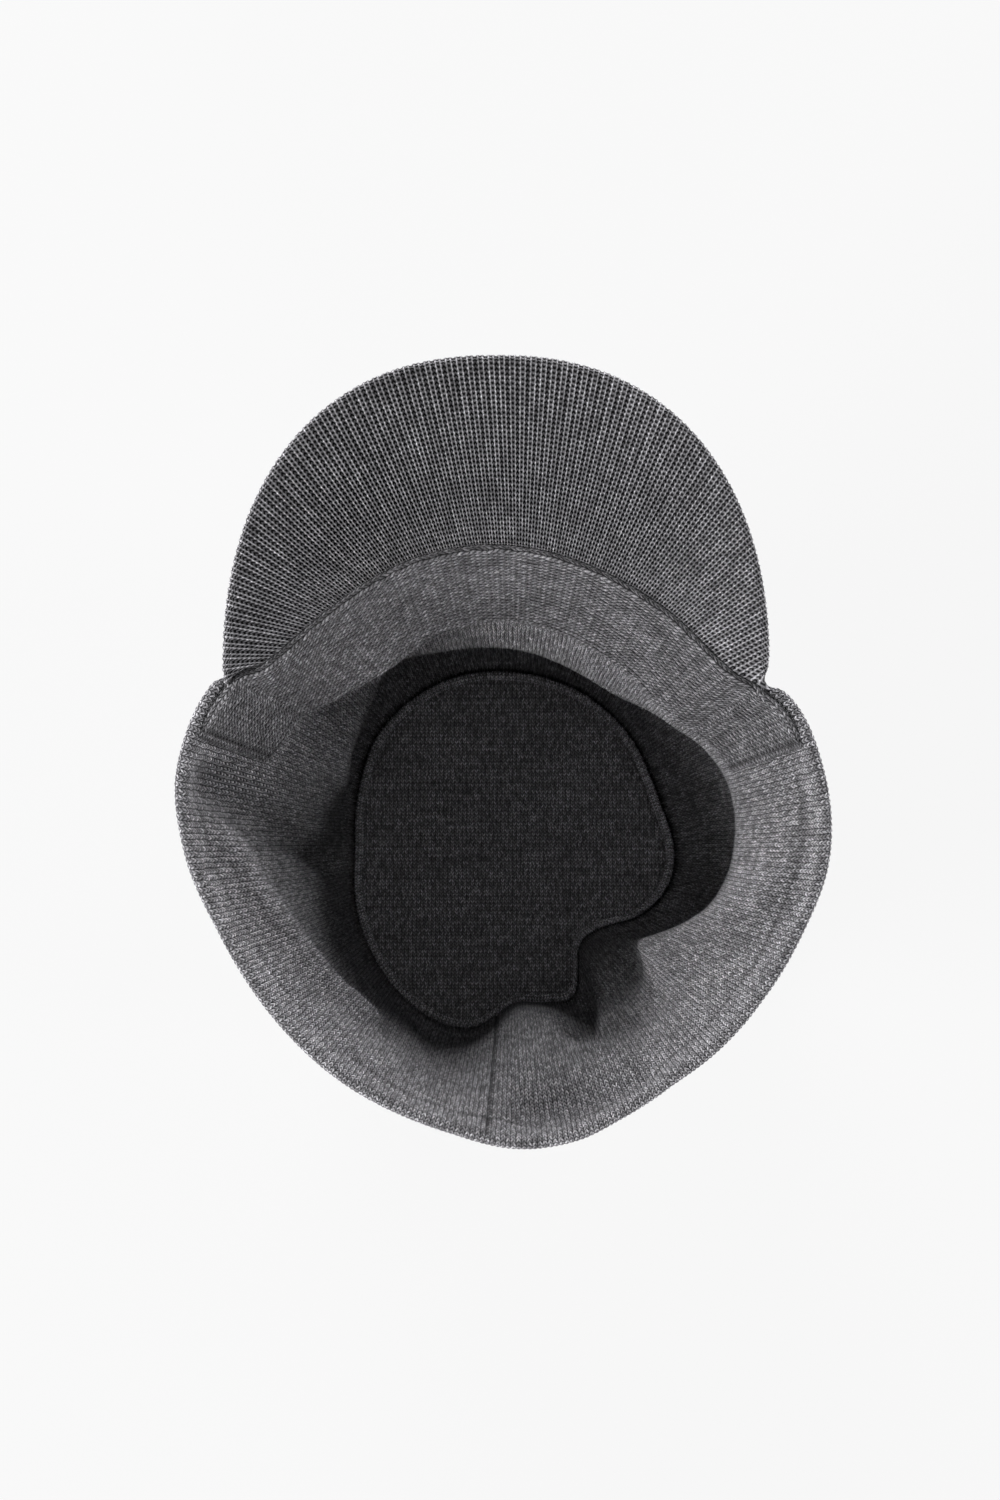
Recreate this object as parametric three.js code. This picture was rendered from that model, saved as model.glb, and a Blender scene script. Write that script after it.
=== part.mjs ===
// A soft knitted cap with a peak, lying upside down on its crown with the opening up.
// Millimetres, +Z up. The origin is the middle of the crown's outer face, on the surface that
// the cap lies on, and +Y points from there to the peak. A bearing is an angle in degrees about
// the Z axis, 0 at the peak and growing clockwise when seen from above.

import * as THREE from 'three';

// Crown and wall
const bodyWidth = 199;         // across the rim, side to side
const bodyLength = 184;        // across the rim, front to back
const crownWidth = 104;        // across the flat crown, side to side
const crownLength = 115;       // across the flat crown, front to back
const rimHeight = 81;          // rim above the surface that the crown lies on
const knitThickness = 2.4;     // one layer of the knit
const rimRoll = 4.4;           // thickness of the rolled edge at the rim
const rollLength = 6;          // length over which the roll thins to one layer

// Raised seam between the wall and the crown
const seamWidth = 3;

// Facing band, sewn inside the front of the wall
const bandWidth = 27;
const bandThickness = 2;
const bandFlare = 2;           // how far its free lower edge stands off the wall
const bandInset = 5.5;         // width of rim that shows outside the band, past the peak
const bandLeftEnd = 291;       // bearing of the band's left end
const bandRightEnd = 69;       // bearing of its right end

// Peak
const peakWidth = 166;         // across the peak at its corners
const peakReach = 56;          // from the seam to the outer edge, seen from above
const peakDepth = 98;          // from the outer edge back to the corners, seen from above
const peakRise = 14;           // height of the outer edge's middle above the seam
const peakArch = 12.5;         // how far the arch lifts the side edges
const peakThickness = 4;
const peakSeamThickness = 2.6; // thickness at the sewn edge
const peakThinning = 9;        // length over which the peak thins to its sewn edge
const peakFullness = 2.3;      // 2 gives an oval outline, more a squarer one
const peakOffset = -5.2;       // the peak's middle line from the crown's, along X
const peakLeftCorner = 304;    // bearing of the left end of the peak's seam
const peakRightCorner = 54;    // bearing of the right end
const peakTuck = 2.2;          // how far the wall's edge stops short under the peak

const gap = 0.3;               // clearance between sewn pieces
const bandGap = 0.5;           // clearance between the band and the wall's bends
const sewnShare = 0.15;        // share of the wall above the crown's seam where the folds fade out
const cornerBlend = 4;         // degrees past the peak over which the rim takes its own shape
const endClearance = 1;        // degrees kept between the band's ends and its next division

// How finely the cloth is divided
const bearingSteps = 96;
const wallSteps = 13;
const crownShares = [0.35, 0.6, 0.82, 1];
const seamSides = 6;
const bandSteps = 7;
const peakSteps = 7;
const peakBearingSteps = 44;
const edgeSteps = 3;
const finePathSteps = 60;
const fineCurveSteps = 240;

// Sections of the wall from the rim down to the crown, one row for each bearing. rim and ring
// are shares of the body's and the crown's oval. brow, shelf and belly are the bends of a
// section: their shares of the way from the crown's edge (0) out to the rim (1), and their falls
// below the rim as shares of its height. lift is how far the crown's edge is pushed up, as the
// same share.
const SECTION_COLUMNS = [
  'at', 'rim', 'ring', 'brow', 'browFall', 'shelf', 'shelfFall', 'belly', 'bellyFall', 'lift',
];
const SECTIONS = namedRows(SECTION_COLUMNS, [
  [0, 1.06, 1, 0.36, 0.29, 0.18, 0.38, 0.3, 0.82, 0],
  [30, 0.977, 0.976, 0.27, 0.31, 0.13, 0.43, 0.3, 0.83, 0],
  [49, 0.936, 0.96, 0.35, 0.28, 0.33, 0.42, 0.38, 0.84, 0],
  [60, 1, 0.944, 0.43, 0.27, 0.4, 0.42, 0.46, 0.85, 0],
  [73, 0.993, 0.948, 0.5, 0.235, 0.46, 0.4, 0.5, 0.85, 0],
  [91, 0.963, 0.994, 0.46, 0.22, 0.4, 0.42, 0.48, 0.85, 0],
  [104, 0.918, 0.963, 0.47, 0.18, 0.34, 0.4, 0.4, 0.85, 0],
  [118, 0.894, 0.834, 0.29, 0.31, 0.2, 0.48, 0.2, 0.8, 0.04],
  [125, 0.891, 0.735, 0.29, 0.345, 0.21, 0.51, 0.14, 0.73, 0.07],
  [134, 0.89, 0.655, 0.51, 0.35, 0.4, 0.6, 0.17, 0.69, 0.09],
  [146, 0.892, 0.665, 0.605, 0.33, 0.42, 0.62, 0.17, 0.7, 0.09],
  [157, 0.915, 0.88, 0.36, 0.33, 0.21, 0.63, 0.145, 0.85, 0.02],
  [167, 0.947, 0.867, 0.32, 0.27, 0.03, 0.48, 0, 0.78, 0],
  [180, 0.955, 0.85, 0.33, 0.26, 0.045, 0.47, 0, 0.78, 0],
  [194, 0.925, 1.02, 0.46, 0.31, 0.2, 0.6, 0.15, 0.85, 0],
  [212, 0.908, 1.055, 0.54, 0.19, 0.2, 0.58, 0.12, 0.85, 0],
  [238, 0.903, 1.03, 0.61, 0.17, 0.24, 0.58, 0.1, 0.85, 0],
  [256, 0.933, 1, 0.66, 0.16, 0.22, 0.56, 0.08, 0.85, 0],
  [270, 1, 0.97, 0.72, 0.16, 0.22, 0.54, 0.08, 0.85, 0],
  [285, 1.068, 0.99, 0.74, 0.16, 0.22, 0.5, 0.12, 0.84, 0],
  [301, 1.085, 1.03, 0.44, 0.3, 0.12, 0.47, 0.2, 0.82, 0],
  [308, 1.022, 1.05, 0.5, 0.34, 0.14, 0.5, 0.24, 0.83, 0],
  [322, 1.022, 1.052, 0.45, 0.31, 0.36, 0.46, 0.34, 0.84, 0],
  [342, 1.063, 1.034, 0.38, 0.29, 0.22, 0.39, 0.33, 0.83, 0],
]);

// Folds pressed into the wall, one row each: a line on the cloth from one bearing and share of
// the way down it to another. width and push, the distance that the cloth is pushed into the
// hollow along that line, are shares of the rim's height; a crease is pushed the other way.
const FOLD_COLUMNS = ['name', 'fromAt', 'fromDown', 'toAt', 'toDown', 'width', 'push'];
const FOLDS = namedRows(FOLD_COLUMNS, [
  ['left crease', 283, 0.13, 267, 0.78, 0.09, -0.095],
  ['left lump', 298, 0.4, 291, 0.72, 0.1, 0.05],
  ['left fold edge', 321, 0.5, 304, 0.85, 0.07, 0.045],
  ['left shelf edge', 273, 0.17, 222, 0.36, 0.065, 0.045],
  ['hollow below the band', 318, 0.44, 299, 0.37, 0.07, -0.06],
  ['back right ridge', 94, 0.14, 124, 0.46, 0.09, 0.05],
  ['pocket', 161, 0.5, 136, 0.36, 0.07, -0.05],
  ['lobe edge', 159, 0.52, 153, 0.85, 0.06, -0.07],
  ['back left hollow', 197, 0.42, 206, 0.8, 0.12, -0.05],
  ['tuck below the rim', 176, 0.11, 150, 0.11, 0.07, -0.06],
]);

const knitColour = 0x5c5b5f;

// Each row of a table as an object with one named value for each column.
function namedRows(columns, rows) {
  return rows.map((row) => Object.fromEntries(columns.map((column, index) => [column, row[index]])));
}

// Curves and angles

const radians = (degrees) => degrees * Math.PI / 180;
const wrapped = (degrees) => ((degrees % 360) + 360) % 360;
const mix = (from, to, share) => from + (to - from) * share;

function smoothStep(share) {
  const t = Math.min(1, Math.max(0, share));
  return t * t * (3 - 2 * t);
}

// Cubic between two values with given slopes, at a share of the span between their places.
function cubic(from, to, slopeFrom, slopeTo, span, share) {
  const square = share * share;
  const cube = square * share;
  const bend = slopeFrom * (cube - 2 * square + share) + slopeTo * (cube - square);
  return mix(from, to, 3 * square - 2 * cube) + span * bend;
}

// One column of the sections at any bearing, on a smooth curve that closes round the cap.
function sectionValue(column, bearing) {
  const count = SECTIONS.length;
  const value = (index) => SECTIONS[(index + count) % count][column];
  const place = (index) => SECTIONS[(index + count) % count].at + 360 * Math.floor(index / count);
  const slope = (index) => (value(index + 1) - value(index - 1)) / (place(index + 1) - place(index - 1));
  const at = wrapped(bearing);
  let index = count - 1;
  while (place(index) > at) index -= 1;
  const span = place(index + 1) - place(index);
  const share = (at - place(index)) / span;
  return cubic(value(index), value(index + 1), slope(index), slope(index + 1), span, share);
}

function ovalRadius(width, length, bearing) {
  const across = Math.sin(radians(bearing)) / (width / 2);
  const along = Math.cos(radians(bearing)) / (length / 2);
  return 1 / Math.hypot(across, along);
}

function polarPoint(bearing, radius, height) {
  const angle = radians(bearing);
  return new THREE.Vector3(radius * Math.sin(angle), radius * Math.cos(angle), height);
}

// Distances of a path's points along it.
function distancesAlong(path) {
  const places = [0];
  for (let i = 1; i < path.length; i += 1) {
    const step = Math.hypot(path[i][0] - path[i - 1][0], path[i][1] - path[i - 1][1]);
    places.push(places[i - 1] + step);
  }
  return places;
}

// Smooth curve through a few knots, as evenly spaced points.
function smoothPath(knots, steps) {
  const places = distancesAlong(knots);
  const last = knots.length - 1;
  const slope = (index, axis) => {
    const before = Math.max(0, index - 1);
    const after = Math.min(last, index + 1);
    return (knots[after][axis] - knots[before][axis]) / (places[after] - places[before]);
  };
  const path = [];
  for (let step = 0; step <= steps; step += 1) {
    const place = places[last] * step / steps;
    let index = 0;
    while (index < last - 1 && places[index + 1] < place) index += 1;
    const span = places[index + 1] - places[index];
    const share = (place - places[index]) / span;
    path.push([0, 1].map((axis) => cubic(
      knots[index][axis], knots[index + 1][axis], slope(index, axis), slope(index + 1, axis), span, share)));
  }
  return path;
}

// The stretch of a path between two distances along it, divided evenly.
function pathStretch(path, from, to, steps) {
  const places = distancesAlong(path);
  const end = Math.min(to, places[places.length - 1]);
  const stretch = [];
  for (let step = 0; step <= steps; step += 1) {
    const place = mix(from, end, step / steps);
    let index = 0;
    while (index < path.length - 2 && places[index + 1] < place) index += 1;
    const share = (place - places[index]) / (places[index + 1] - places[index]);
    stretch.push([0, 1].map((axis) => mix(path[index][axis], path[index + 1][axis], share)));
  }
  return stretch;
}

// Direction along a path at one of its points, and the direction to its right: into the hollow
// on a path that runs down the wall.
function pathFrame(path, index) {
  const before = path[Math.max(0, index - 1)];
  const after = path[Math.min(path.length - 1, index + 1)];
  const length = Math.hypot(after[0] - before[0], after[1] - before[1]);
  const along = [(after[0] - before[0]) / length, (after[1] - before[1]) / length];
  return { along, right: [along[1], -along[0]] };
}

const moved = (point, direction, distance) => [
  point[0] + distance * direction[0],
  point[1] + distance * direction[1],
];

// Bodies

function bodyGeometry(positions, indices) {
  const geometry = new THREE.BufferGeometry();
  geometry.setAttribute('position', new THREE.Float32BufferAttribute(positions, 3));
  geometry.setIndex(indices);
  geometry.computeVertexNormals();
  return geometry;
}

// Points on a half circle round the end of a strip, between its two sides.
function roundEnd(centre, side, outward, radius) {
  const points = [];
  for (let step = 1; step < edgeSteps; step += 1) {
    const angle = Math.PI * step / edgeSteps;
    points.push(moved(moved(centre, side, radius * Math.cos(angle)), outward, radius * Math.sin(angle)));
  }
  return points;
}

// Closed outline of a strip of cloth along a path, clockwise. halfAt gives half its thickness at
// a distance along it. Its first end is round, and its last end too unless it is cut level.
function stripOutline(path, halfAt, levelEnd = false) {
  const places = distancesAlong(path);
  const last = path.length - 1;
  const right = [];
  const left = [];
  path.forEach((point, index) => {
    const direction = levelEnd && index === last ? [-1, 0] : pathFrame(path, index).right;
    right.unshift(moved(point, direction, halfAt(places[index])));
    left.push(moved(point, direction, -halfAt(places[index])));
  });
  const start = pathFrame(path, 0);
  const end = pathFrame(path, last);
  const back = start.along.map((value) => -value);
  const endSide = end.right.map((value) => -value);
  const startRound = roundEnd(path[0], start.right, back, halfAt(0));
  const endRound = levelEnd ? [] : roundEnd(path[last], endSide, end.along, halfAt(places[last]));
  return [...right, ...startRound, ...left, ...endRound];
}

// Triangles that close a flat outline whose points start at an index. They turn the same way as
// the outline, or the other way if they are reversed.
function endTriangles(outline, first, reversed) {
  const contour = outline.map(([x, y]) => new THREE.Vector2(x, y));
  const outlineTurn = THREE.ShapeUtils.isClockWise(contour);
  return THREE.ShapeUtils.triangulateShape(contour, []).flatMap(([a, b, c]) => {
    const turn = THREE.ShapeUtils.isClockWise([contour[a], contour[b], contour[c]]);
    const flip = (turn === outlineTurn) === reversed;
    return flip ? [first + a, first + c, first + b] : [first + a, first + b, first + c];
  });
}

// One body through outlines of equal length, placed one by one by a function. It closes on
// itself as a ring, or is closed by a face at each end.
function loftBody(outlines, placePoint, ring) {
  const sides = outlines[0].length;
  const positions = [];
  const indices = [];
  outlines.forEach((outline, row) => outline.forEach((point) => positions.push(...placePoint(row, point))));
  const spans = ring ? outlines.length : outlines.length - 1;
  for (let row = 0; row < spans; row += 1) {
    const here = row * sides;
    const next = ((row + 1) % outlines.length) * sides;
    for (let side = 0; side < sides; side += 1) {
      const other = (side + 1) % sides;
      indices.push(here + side, next + side, next + other);
      indices.push(here + side, next + other, here + other);
    }
  }
  if (!ring) {
    const lastRow = outlines.length - 1;
    indices.push(...endTriangles(outlines[0], 0, false));
    indices.push(...endTriangles(outlines[lastRow], lastRow * sides, true));
  }
  return bodyGeometry(positions, indices);
}

function knitMesh(name, geometry) {
  const material = new THREE.MeshStandardMaterial({ color: knitColour, roughness: 0.95, metalness: 0 });
  const mesh = new THREE.Mesh(geometry, material);
  mesh.name = name;
  return mesh;
}

const evenBearings = Array.from({ length: bearingSteps }, (_, i) => 360 * i / bearingSteps);

// Wall

// 1 from corner to corner of the peak, fading to 0 a little past them.
function underPeak(bearing) {
  const half = (peakRightCorner + 360 - peakLeftCorner) / 2;
  const middle = peakRightCorner - half;
  const away = Math.abs(wrapped(bearing - middle + 180) - 180);
  return smoothStep((half + cornerBlend - away) / cornerBlend);
}

// The middle line of the rim's roll, or of the cloth's edge under the peak.
function rimRadius(bearing) {
  return sectionValue('rim', bearing) * ovalRadius(bodyWidth, bodyLength, bearing) - rimRoll / 2;
}

function crownRadius(bearing) {
  return sectionValue('ring', bearing) * ovalRadius(crownWidth, crownLength, bearing);
}

const crownLift = (bearing) => Math.max(0, sectionValue('lift', bearing)) * rimHeight;

// How far the folds push the wall into the hollow, at a bearing and a share of the way down.
function foldPush(bearing, down) {
  const across = radians(1) * (bodyWidth + crownWidth) / 4;
  const sewnFade = smoothStep((1 - down) / sewnShare);
  return FOLDS.reduce((sum, fold) => {
    const away = wrapped(bearing - fold.fromAt + 180) - 180;
    const point = [away * across, (down - fold.fromDown) * rimHeight];
    const line = [(fold.toAt - fold.fromAt) * across, (fold.toDown - fold.fromDown) * rimHeight];
    const reach = (point[0] * line[0] + point[1] * line[1]) / (line[0] ** 2 + line[1] ** 2);
    const share = Math.min(1, Math.max(0, reach));
    const distance = Math.hypot(point[0] - share * line[0], point[1] - share * line[1]);
    return sum + fold.push * rimHeight * sewnFade * Math.exp(-((distance / (fold.width * rimHeight)) ** 2));
  }, 0);
}

// The middle line of the wall from the rim down to the crown's edge, as [radius, height].
function wallPath(bearing) {
  const rim = rimRadius(bearing);
  const foot = crownRadius(bearing) + gap + knitThickness / 2;
  const lift = crownLift(bearing);
  const bend = (name) => [
    mix(foot, rim, sectionValue(name, bearing)),
    rimHeight * (1 - sectionValue(name + 'Fall', bearing)),
  ];
  const knots = [
    [rim, rimHeight],
    bend('brow'),
    bend('shelf'),
    bend('belly'),
    [foot, lift],
  ];
  const path = smoothPath(knots, finePathSteps);
  return path.map((point, index) => (
    moved(point, pathFrame(path, index).right, foldPush(bearing, index / finePathSteps))));
}

const wallStart = (bearing) => peakTuck * underPeak(bearing);

function wallHalf(bearing, distance) {
  const roll = (1 - underPeak(bearing)) * (1 - smoothStep(distance / rollLength));
  return mix(knitThickness, rimRoll, roll) / 2;
}

function crownWall() {
  const outlines = evenBearings.map((bearing) => {
    const start = wallStart(bearing);
    const path = pathStretch(wallPath(bearing), start, Infinity, wallSteps);
    return stripOutline(path, (distance) => wallHalf(bearing, start + distance), true);
  });
  const place = (row, [radius, height]) => polarPoint(evenBearings[row], radius, height);
  return knitMesh('crown_wall', loftBody(outlines, place, true));
}

// Crown

function crownTop() {
  const positions = [0, 0, 0, 0, 0, knitThickness];
  const indices = [];
  const layerSize = 2;
  const ringSize = bearingSteps * layerSize;
  const vertex = (ring, step, layer) => {
    const place = (step % bearingSteps) * layerSize;
    return layerSize + ring * ringSize + place + layer;
  };
  const flatShare = crownShares[0];
  crownShares.forEach((share, ring) => evenBearings.forEach((bearing, step) => {
    const lift = crownLift(bearing) * smoothStep((share - flatShare) / (1 - flatShare));
    const radius = share * crownRadius(bearing);
    positions.push(...polarPoint(bearing, radius, lift));
    positions.push(...polarPoint(bearing, radius, lift + knitThickness));
    if (ring === 0) {
      indices.push(0, vertex(0, step, 0), vertex(0, step + 1, 0));
      indices.push(1, vertex(0, step + 1, 1), vertex(0, step, 1));
      return;
    }
    const corners = [
      vertex(ring - 1, step, 0),
      vertex(ring, step, 0),
      vertex(ring, step + 1, 0),
      vertex(ring - 1, step + 1, 0),
    ];
    const [a, b, c, d] = corners;
    indices.push(a, b, c, a, c, d);
    indices.push(a + 1, c + 1, b + 1, a + 1, d + 1, c + 1);
  }));
  const rim = crownShares.length - 1;
  evenBearings.forEach((bearing, step) => {
    const low = vertex(rim, step, 0);
    const nextLow = vertex(rim, step + 1, 0);
    indices.push(low, low + 1, nextLow + 1, low, nextLow + 1, nextLow);
  });
  return knitMesh('crown_top', bodyGeometry(positions, indices));
}

// The raised seam lies on the crown's edge, against the foot of the wall.
function crownSeam() {
  const radius = seamWidth / 2;
  const outlines = evenBearings.map((bearing) => {
    const centre = [crownRadius(bearing) - radius, crownLift(bearing) + knitThickness + gap + radius];
    return Array.from({ length: seamSides }, (_, side) => {
      const angle = -2 * Math.PI * side / seamSides;
      return moved(centre, [Math.cos(angle), Math.sin(angle)], radius);
    });
  });
  const place = (row, [r, z]) => polarPoint(evenBearings[row], r, z);
  return knitMesh('crown_seam', loftBody(outlines, place, true));
}

// Facing band, which lies on the wall's inner side and ends at the peak's seam.
function frontBand() {
  const left = bandLeftEnd - 360;
  const sewn = [...evenBearings.map((bearing) => bearing - 360), ...evenBearings]
    .filter((bearing) => bearing > left + endClearance && bearing < bandRightEnd - endClearance);
  const bearings = [left, ...sewn, bandRightEnd];
  const outlines = bearings.map((bearing) => {
    const start = bandInset * (1 - underPeak(bearing));
    const onWall = pathStretch(wallPath(bearing), start, start + bandWidth, bandSteps);
    const places = distancesAlong(onWall);
    const path = onWall.map((point, index) => {
      const flare = bandFlare * (index / bandSteps) ** 2;
      const clear = wallHalf(bearing, start + places[index]) + bandGap + bandThickness / 2 + flare;
      return moved(point, pathFrame(onWall, index).right, clear);
    });
    return stripOutline(path, () => bandThickness / 2);
  });
  const place = (row, [radius, height]) => polarPoint(bearings[row], radius, height);
  return knitMesh('front_band', loftBody(outlines, place, false));
}

// Peak

// Points at even distances along a curve, given as a function of a share from 0 to 1.
function evenlyAlong(pointAt, count) {
  const fine = Array.from({ length: fineCurveSteps + 1 }, (_, i) => pointAt(i / fineCurveSteps));
  const end = distancesAlong(fine).pop();
  return pathStretch(fine, 0, end, count);
}

// The sewn edge follows the rim just above the wall's edge.
function peakSeamPoint(share) {
  const bearing = mix(peakLeftCorner - 360, peakRightCorner, share);
  const { x, y } = polarPoint(bearing, rimRadius(bearing) + gap * 2, 0);
  return [x, y];
}

// The outer edge is half of a squared oval between the two corners.
function peakEdgePoint(share) {
  const angle = Math.PI * share;
  const round = (value) => Math.sign(value) * Math.abs(value) ** (2 / peakFullness);
  const halfWidth = (peakWidth - peakThickness) / 2;
  const depth = peakDepth - peakThickness / 2;
  const front = rimRadius(0) + peakReach - peakThickness / 2;
  return [peakOffset - halfWidth * round(Math.cos(angle)), front - depth * (1 - round(Math.sin(angle)))];
}

// Height of the arched and raised peak above its seam, before the seam is made level.
function peakShape(x, y) {
  const across = (x - peakOffset) / (peakWidth / 2);
  return peakRise * (y - rimRadius(0)) / peakReach + peakArch * across * across;
}

function peak() {
  const seam = evenlyAlong(peakSeamPoint, peakBearingSteps);
  const edge = evenlyAlong(peakEdgePoint, peakBearingSteps);
  const seamHeight = rimHeight + gap + peakSeamThickness / 2;
  const outlines = seam.map((from, row) => {
    const to = edge[row];
    const length = Math.hypot(to[0] - from[0], to[1] - from[1]);
    const path = Array.from({ length: peakSteps + 1 }, (_, step) => {
      const share = step / peakSteps;
      const rise = peakShape(mix(from[0], to[0], share), mix(from[1], to[1], share));
      return [share * length, seamHeight + rise - (1 - share) * peakShape(...from)];
    });
    const halfAt = (distance) => {
      const share = smoothStep(distance / peakThinning);
      return mix(peakSeamThickness, peakThickness, share) / 2;
    };
    return stripOutline(path, halfAt);
  });
  const place = (row, [distance, height]) => {
    const from = new THREE.Vector2(...seam[row]);
    const along = new THREE.Vector2(...edge[row]).sub(from).normalize();
    return [from.x + along.x * distance, from.y + along.y * distance, height];
  };
  return knitMesh('peak', loftBody(outlines, place, false));
}

const cap = new THREE.Group();
cap.add(crownTop(), crownWall(), crownSeam(), frontBand(), peak());

export default cap;
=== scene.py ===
import math

import bpy
import numpy as np
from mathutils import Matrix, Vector


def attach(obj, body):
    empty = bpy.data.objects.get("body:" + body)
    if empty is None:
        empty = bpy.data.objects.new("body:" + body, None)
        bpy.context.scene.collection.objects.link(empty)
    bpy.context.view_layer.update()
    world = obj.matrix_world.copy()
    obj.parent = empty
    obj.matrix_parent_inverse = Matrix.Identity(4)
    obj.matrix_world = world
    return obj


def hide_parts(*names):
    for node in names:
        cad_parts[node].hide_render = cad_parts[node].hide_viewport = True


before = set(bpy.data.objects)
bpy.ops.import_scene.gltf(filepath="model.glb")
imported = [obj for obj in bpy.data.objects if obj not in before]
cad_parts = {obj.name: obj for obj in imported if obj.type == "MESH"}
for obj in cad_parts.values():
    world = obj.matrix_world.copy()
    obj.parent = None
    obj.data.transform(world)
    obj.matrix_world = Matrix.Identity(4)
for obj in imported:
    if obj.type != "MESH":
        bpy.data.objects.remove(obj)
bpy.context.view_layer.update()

# A knitted cap that lies upside down on its crown. Lengths in the tables and named values are
# millimetres, and each mesh is turned into metres when it is made. A bearing is an angle in
# degrees about the Z axis, 0 at the peak and growing clockwise when seen from above.

MM = 0.001

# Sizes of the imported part

BODY_WIDTH = 199
BODY_LENGTH = 184
CROWN_WIDTH = 104
CROWN_LENGTH = 115
RIM_HEIGHT = 81
KNIT_THICKNESS = 2.4
RIM_ROLL = 4.4
ROLL_LENGTH = 6
SEAM_WIDTH = 3
BAND_WIDTH = 27
BAND_THICKNESS = 2
BAND_LEFT_END = 291
BAND_RIGHT_END = 69
PEAK_WIDTH = 166
PEAK_REACH = 56
PEAK_DEPTH = 98
PEAK_RISE = 14
PEAK_ARCH = 12.5
PEAK_THICKNESS = 4
PEAK_SEAM_THICKNESS = 2.6
PEAK_THINNING = 9
PEAK_FULLNESS = 2.3
PEAK_OFFSET = -5.2
PEAK_LEFT_CORNER = 304
PEAK_RIGHT_CORNER = 54
PEAK_TUCK = 2.2
GAP = 0.3
BAND_GAP = 0.5
SEWN_SHARE = 0.15
CORNER_BLEND = 4

# The wall's sections, one row for each bearing. rim and ring are shares of the body's and the
# crown's oval. brow, shelf and belly are the bends of a section: their shares of the way from
# the crown's edge out to the rim, and their falls below the rim as shares of its height. lift is
# how far the crown's edge is pushed up, as the same share.
SECTION_COLUMNS = (
    "at", "rim", "ring", "brow", "brow_fall", "shelf", "shelf_fall", "belly", "belly_fall", "lift")
SECTIONS = [
    (0, 1.06, 1, 0.36, 0.29, 0.18, 0.38, 0.3, 0.82, 0),
    (30, 0.977, 0.976, 0.27, 0.31, 0.13, 0.43, 0.3, 0.83, 0),
    (49, 0.936, 0.96, 0.35, 0.28, 0.33, 0.42, 0.38, 0.84, 0),
    (60, 1, 0.944, 0.43, 0.27, 0.4, 0.42, 0.46, 0.85, 0),
    (73, 0.993, 0.948, 0.5, 0.235, 0.46, 0.4, 0.5, 0.85, 0),
    (91, 0.963, 0.994, 0.46, 0.22, 0.4, 0.42, 0.48, 0.85, 0),
    (104, 0.918, 0.963, 0.47, 0.18, 0.34, 0.4, 0.4, 0.85, 0),
    (118, 0.894, 0.834, 0.29, 0.31, 0.2, 0.48, 0.2, 0.8, 0.04),
    (125, 0.891, 0.735, 0.29, 0.345, 0.21, 0.51, 0.14, 0.73, 0.07),
    (134, 0.89, 0.655, 0.51, 0.35, 0.4, 0.6, 0.17, 0.69, 0.09),
    (146, 0.892, 0.665, 0.605, 0.33, 0.42, 0.62, 0.17, 0.7, 0.09),
    (157, 0.915, 0.88, 0.36, 0.33, 0.21, 0.63, 0.145, 0.85, 0.02),
    (167, 0.947, 0.867, 0.32, 0.27, 0.03, 0.48, 0, 0.78, 0),
    (180, 0.955, 0.85, 0.33, 0.26, 0.045, 0.47, 0, 0.78, 0),
    (194, 0.925, 1.02, 0.46, 0.31, 0.2, 0.6, 0.15, 0.85, 0),
    (212, 0.908, 1.055, 0.54, 0.19, 0.2, 0.58, 0.12, 0.85, 0),
    (238, 0.903, 1.03, 0.61, 0.17, 0.24, 0.58, 0.1, 0.85, 0),
    (256, 0.933, 1, 0.66, 0.16, 0.22, 0.56, 0.08, 0.85, 0),
    (270, 1, 0.97, 0.72, 0.16, 0.22, 0.54, 0.08, 0.85, 0),
    (285, 1.068, 0.99, 0.74, 0.16, 0.22, 0.5, 0.12, 0.84, 0),
    (301, 1.085, 1.03, 0.44, 0.3, 0.12, 0.47, 0.2, 0.82, 0),
    (308, 1.022, 1.05, 0.5, 0.34, 0.14, 0.5, 0.24, 0.83, 0),
    (322, 1.022, 1.052, 0.45, 0.31, 0.36, 0.46, 0.34, 0.84, 0),
    (342, 1.063, 1.034, 0.38, 0.29, 0.22, 0.39, 0.33, 0.83, 0),
]

# Folds pressed into the wall: a line on the cloth from one bearing and share of the way down it
# to another, with its width and its push into the hollow as shares of the rim's height. The
# columns are its name, from bearing, from share, to bearing, to share, width and push.
FOLDS = [
    ("left crease", 283, 0.13, 267, 0.78, 0.075, -0.11),
    ("left lump", 298, 0.4, 291, 0.72, 0.1, 0.05),
    ("left fold edge", 321, 0.5, 304, 0.85, 0.07, 0.045),
    ("left shelf edge", 273, 0.17, 222, 0.36, 0.055, 0.06),
    ("hollow below the band", 318, 0.44, 299, 0.37, 0.07, -0.06),
    ("back right ridge", 94, 0.14, 124, 0.46, 0.09, 0.05),
    ("pocket", 161, 0.5, 136, 0.36, 0.07, -0.05),
    ("lobe edge", 159, 0.52, 153, 0.85, 0.06, -0.07),
    ("back left hollow", 197, 0.42, 206, 0.8, 0.12, -0.03),
    ("tuck below the rim", 176, 0.11, 150, 0.11, 0.07, -0.06),
]

# Stitches

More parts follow.
